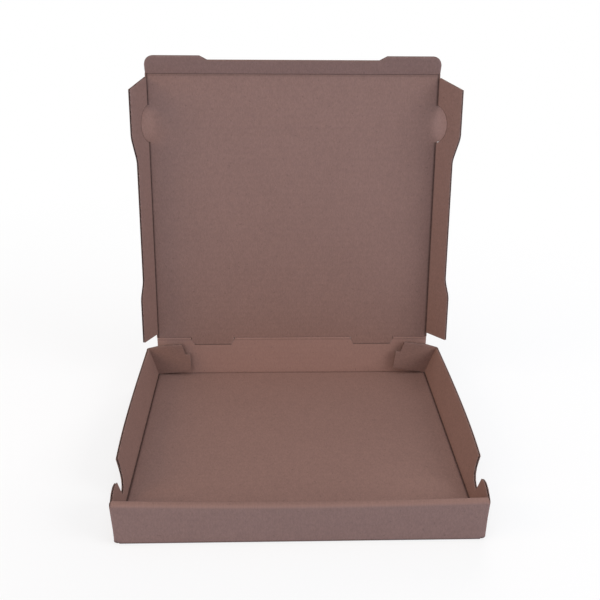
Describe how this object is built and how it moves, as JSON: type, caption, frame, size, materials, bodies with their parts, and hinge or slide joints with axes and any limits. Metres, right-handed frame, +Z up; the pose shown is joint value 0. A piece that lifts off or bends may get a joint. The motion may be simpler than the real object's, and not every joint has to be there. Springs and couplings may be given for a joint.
{
  "type": "pizza box",
  "caption": "Open corrugated pizza box with a hinged lid, tuck flaps, leaning side walls with finger notches and a rolled front wall.",
  "frame": {"origin": "middle of the floor panel's underside, on the ground", "axes": "+X to the box's right seen from the front, +Y to the rear where the lid hinges, +Z up"},
  "size_m": [0.3401, 0.3308, 0.3545],
  "materials": {
    "kraft_board": "matt unprinted kraft paper over a fluted core"
  },
  "bodies": {
    "tray": {"tray": "kraft_board"},
    "lid": {"lid": "kraft_board"},
    "left_flap": {"lid_left_flap": "kraft_board"},
    "right_flap": {"lid_right_flap": "kraft_board"},
    "front_flap": {"lid_front_flap": "kraft_board"}
  },
  "joints": [
    {"name": "lid_hinge", "type": "hinge", "parent": "tray", "child": "lid", "pos_m": [0, 0.15225, 0.0455], "axis": [1, 0, 0], "range_deg": [-85, 95.5]},
    {"name": "left_flap_fold", "type": "hinge", "parent": "lid", "child": "left_flap", "pos_m": [-0.1518, 0.15225, 0.0455], "axis": [0, 0.0819, 0.9966], "range_deg": [-22, 24.6]},
    {"name": "right_flap_fold", "type": "hinge", "parent": "lid", "child": "right_flap", "pos_m": [0.1518, 0.15225, 0.0455], "axis": [0, -0.0819, -0.9966], "range_deg": [-32.6, 36.6]},
    {"name": "front_flap_fold", "type": "hinge", "parent": "lid", "child": "front_flap", "pos_m": [0, 0.17601, 0.33452], "axis": [1, 0, 0], "range_deg": [-47.3, 53.1]}
  ],
  "couplings": [
    {"joint": "left_flap_fold", "follows": "lid_hinge", "ratio": 0.2565},
    {"joint": "right_flap_fold", "follows": "lid_hinge", "ratio": 0.382},
    {"joint": "front_flap_fold", "follows": "lid_hinge", "ratio": 0.555}
  ]
}
